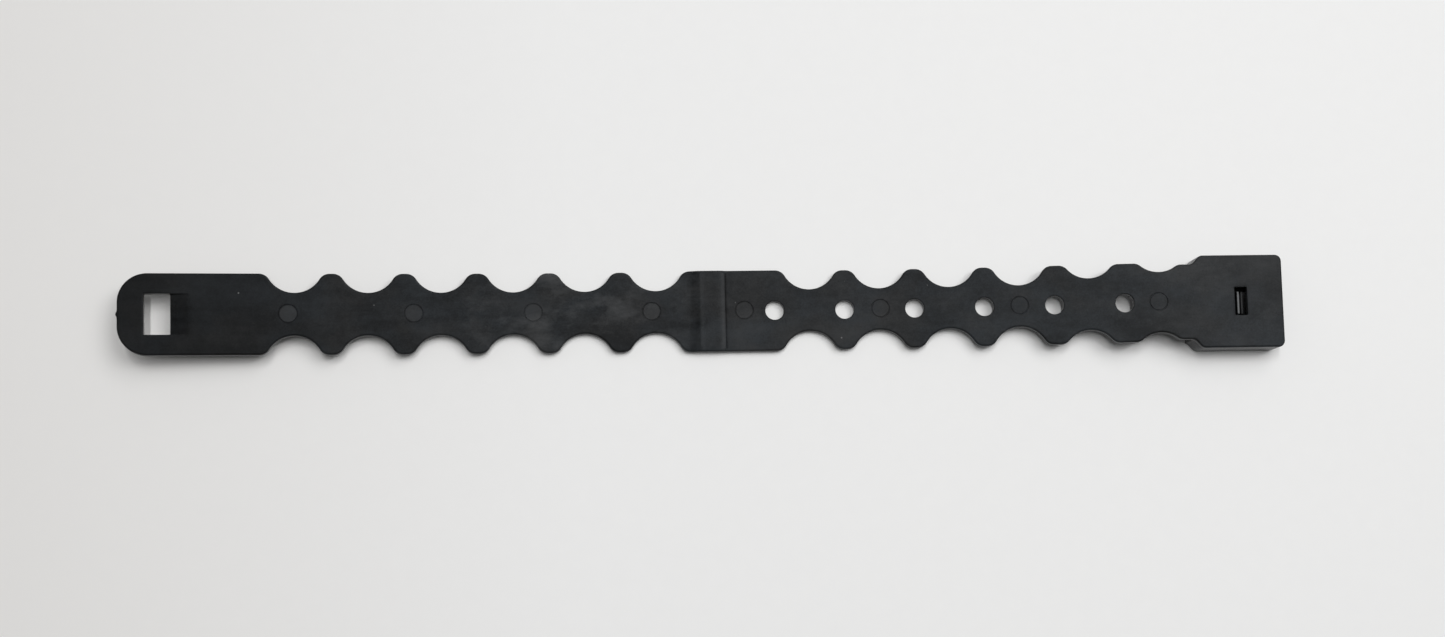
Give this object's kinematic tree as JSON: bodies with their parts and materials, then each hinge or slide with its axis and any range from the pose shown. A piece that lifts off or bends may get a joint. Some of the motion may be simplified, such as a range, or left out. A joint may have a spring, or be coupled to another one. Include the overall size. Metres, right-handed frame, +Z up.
{
  "type": "wrist strap",
  "caption": "Moulded flexible wrist strap with scalloped edges, round holes along one half, a slotted tongue and a box clasp with a sprung latch.",
  "frame": {"origin": "the middle of the strap's footprint, on the surface that it lies on", "axes": "+X along the strap from the tongue to the clasp, +Y across it, +Z up out of the skin side"},
  "size_m": [0.2446, 0.02, 0.0076],
  "materials": {
    "band": "matte moulded, carbon-loaded, flexible",
    "clasp": "matte moulded, carbon-loaded, rigid",
    "latch": "matte moulded, carbon-loaded, springy"
  },
  "bodies": {
    "centre_panel": {"centre_panel": "band"},
    "left_link_1": {"left_link_1": "band"},
    "left_link_2": {"left_link_2": "band"},
    "left_link_3": {"left_link_3": "band"},
    "left_link_4": {"left_link_4": "band"},
    "left_link_5": {"left_link_5": "band"},
    "tongue": {"tongue": "band"},
    "right_link_1": {"right_link_1": "band"},
    "right_link_2": {"right_link_2": "band"},
    "right_link_3": {"right_link_3": "band"},
    "right_link_4": {"right_link_4": "band"},
    "right_link_5": {"right_link_5": "band"},
    "clasp_housing": {"clasp_housing": "clasp"},
    "latch_arm": {"latch_arm": "latch"}
  },
  "joints": [
    {"name": "left_link_1_bend", "type": "hinge", "parent": "centre_panel", "child": "left_link_1", "pos_m": [-0.01212, 0, 0.0009], "axis": [0, 1, 0], "range_deg": [-12, 24], "stiffness_Nm_per_rad": 0.12},
    {"name": "left_link_2_bend", "type": "hinge", "parent": "left_link_1", "child": "left_link_2", "pos_m": [-0.02712, 0, 0.00103], "axis": [0, 1, 0], "range_deg": [-12, 24], "stiffness_Nm_per_rad": 0.12},
    {"name": "left_link_3_bend", "type": "hinge", "parent": "left_link_2", "child": "left_link_3", "pos_m": [-0.04212, 0, 0.00137], "axis": [0, 1, 0], "range_deg": [-12, 24], "stiffness_Nm_per_rad": 0.12},
    {"name": "left_link_4_bend", "type": "hinge", "parent": "left_link_3", "child": "left_link_4", "pos_m": [-0.05711, 0, 0.00197], "axis": [0, 1, 0], "range_deg": [-12, 24], "stiffness_Nm_per_rad": 0.12},
    {"name": "left_link_5_bend", "type": "hinge", "parent": "left_link_4", "child": "left_link_5", "pos_m": [-0.07208, 0, 0.00284], "axis": [0, 1, 0], "range_deg": [-12, 24], "stiffness_Nm_per_rad": 0.12},
    {"name": "tongue_bend", "type": "hinge", "parent": "left_link_5", "child": "tongue", "pos_m": [-0.08704, 0, 0.00391], "axis": [0, 1, 0], "range_deg": [-12, 24], "stiffness_Nm_per_rad": 0.12},
    {"name": "right_link_1_bend", "type": "hinge", "parent": "centre_panel", "child": "right_link_1", "pos_m": [0.02058, 0, 0.0009], "axis": [0, -1, 0], "range_deg": [-12, 24], "stiffness_Nm_per_rad": 0.12},
    {"name": "right_link_2_bend", "type": "hinge", "parent": "right_link_1", "child": "right_link_2", "pos_m": [0.03558, 0, 0.00121], "axis": [0, -1, 0], "range_deg": [-12, 24], "stiffness_Nm_per_rad": 0.12},
    {"name": "right_link_3_bend", "type": "hinge", "parent": "right_link_2", "child": "right_link_3", "pos_m": [0.05056, 0, 0.00184], "axis": [0, -1, 0], "range_deg": [-12, 24], "stiffness_Nm_per_rad": 0.12},
    {"name": "right_link_4_bend", "type": "hinge", "parent": "right_link_3", "child": "right_link_4", "pos_m": [0.06553, 0, 0.00284], "axis": [0, -1, 0], "range_deg": [-12, 24], "stiffness_Nm_per_rad": 0.12},
    {"name": "right_link_5_bend", "type": "hinge", "parent": "right_link_4", "child": "right_link_5", "pos_m": [0.08047, 0, 0.00414], "axis": [0, -1, 0], "range_deg": [-12, 24], "stiffness_Nm_per_rad": 0.12},
    {"name": "clasp_housing_bend", "type": "hinge", "parent": "right_link_5", "child": "clasp_housing", "pos_m": [0.0954, 0, 0.00561], "axis": [0, -1, 0], "range_deg": [-12, 24], "stiffness_Nm_per_rad": 0.12},
    {"name": "latch_flex", "type": "hinge", "parent": "clasp_housing", "child": "latch_arm", "pos_m": [0.1062, 0, 0.00251], "axis": [0, 1, 0], "range_deg": [0, 9], "stiffness_Nm_per_rad": 0.08}
  ]
}
